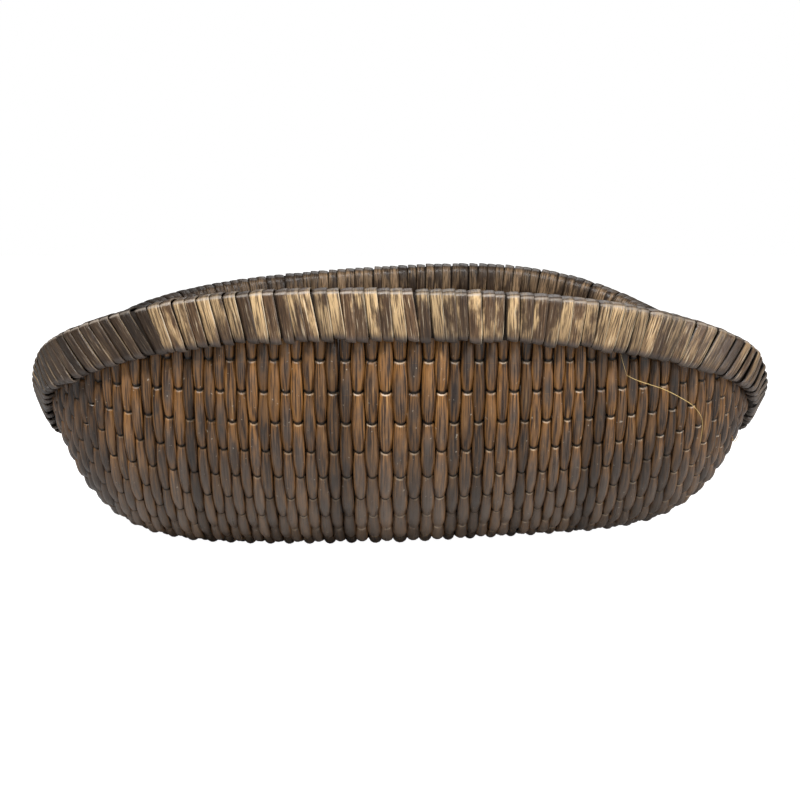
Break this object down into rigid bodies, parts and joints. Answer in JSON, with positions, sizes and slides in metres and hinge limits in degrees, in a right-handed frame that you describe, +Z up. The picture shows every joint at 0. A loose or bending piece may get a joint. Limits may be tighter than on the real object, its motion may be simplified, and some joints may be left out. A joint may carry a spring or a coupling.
{
  "type": "woven willow fruit basket",
  "caption": "Boat-shaped willow basket of bent round rods tied with rows of twine, with raised sides, low ends and a rim bound in split willow.",
  "frame": {"origin": "on the table under the middle of the basket, at the bottom centre of its box", "axes": "+X along the basket's length, +Y across it towards the far side, +Z up"},
  "size_m": [0.4816, 0.359, 0.1719],
  "materials": {
    "willow_rod": "satin",
    "hemp_twine": "fibrous",
    "hoop_wood": "satin",
    "binding_golden": "satin",
    "binding_dark": "satin"
  },
  "bodies": {
    "root": {"centre_rod": "willow_rod", "rod_pair_01": "willow_rod", "rod_pair_02": "willow_rod", "rod_pair_03": "willow_rod", "rod_pair_04": "willow_rod", "rod_pair_05": "willow_rod", "rod_pair_06": "willow_rod", "rod_pair_07": "willow_rod", "rod_pair_08": "willow_rod", "rod_pair_09": "willow_rod", "rod_pair_10": "willow_rod", "rod_pair_11": "willow_rod", "rod_pair_12": "willow_rod", "rod_pair_13": "willow_rod", "rod_pair_14": "willow_rod", "rod_pair_15": "willow_rod", "rod_pair_16": "willow_rod", "rod_pair_17": "willow_rod", "rod_pair_18": "willow_rod", "rod_pair_19": "willow_rod", "rod_pair_20": "willow_rod", "rod_pair_21": "willow_rod", "rod_pair_22": "willow_rod", "rod_pair_23": "willow_rod", "rod_pair_24": "willow_rod", "rod_pair_25": "willow_rod", "rod_pair_26": "willow_rod", "rod_pair_27": "willow_rod", "rod_pair_28": "willow_rod", "rod_pair_29": "willow_rod", "rod_pair_30": "willow_rod", "rod_pair_31": "willow_rod", "rod_pair_32": "willow_rod", "rod_pair_33": "willow_rod", "rod_pair_34": "willow_rod", "rod_pair_35": "willow_rod", "rod_pair_36": "willow_rod", "rod_pair_37": "willow_rod", "keel_twine": "hemp_twine", "twine_row_01": "hemp_twine", "twine_row_02": "hemp_twine", "twine_row_03": "hemp_twine", "twine_row_04": "hemp_twine", "twine_row_05": "hemp_twine", "twine_row_06": "hemp_twine", "twine_row_07": "hemp_twine", "twine_row_08": "hemp_twine", "twine_row_09": "hemp_twine", "twine_row_10": "hemp_twine", "twine_row_11": "hemp_twine", "twine_row_12": "hemp_twine", "twine_row_13": "hemp_twine", "outer_hoop": "hoop_wood", "inner_hoop": "hoop_wood", "rim_filler_rod": "hoop_wood", "rim_binding_front": "binding_golden", "rim_binding_back": "binding_dark", "rim_binding_left_end": "binding_dark"}
  },
  "joints": []
}
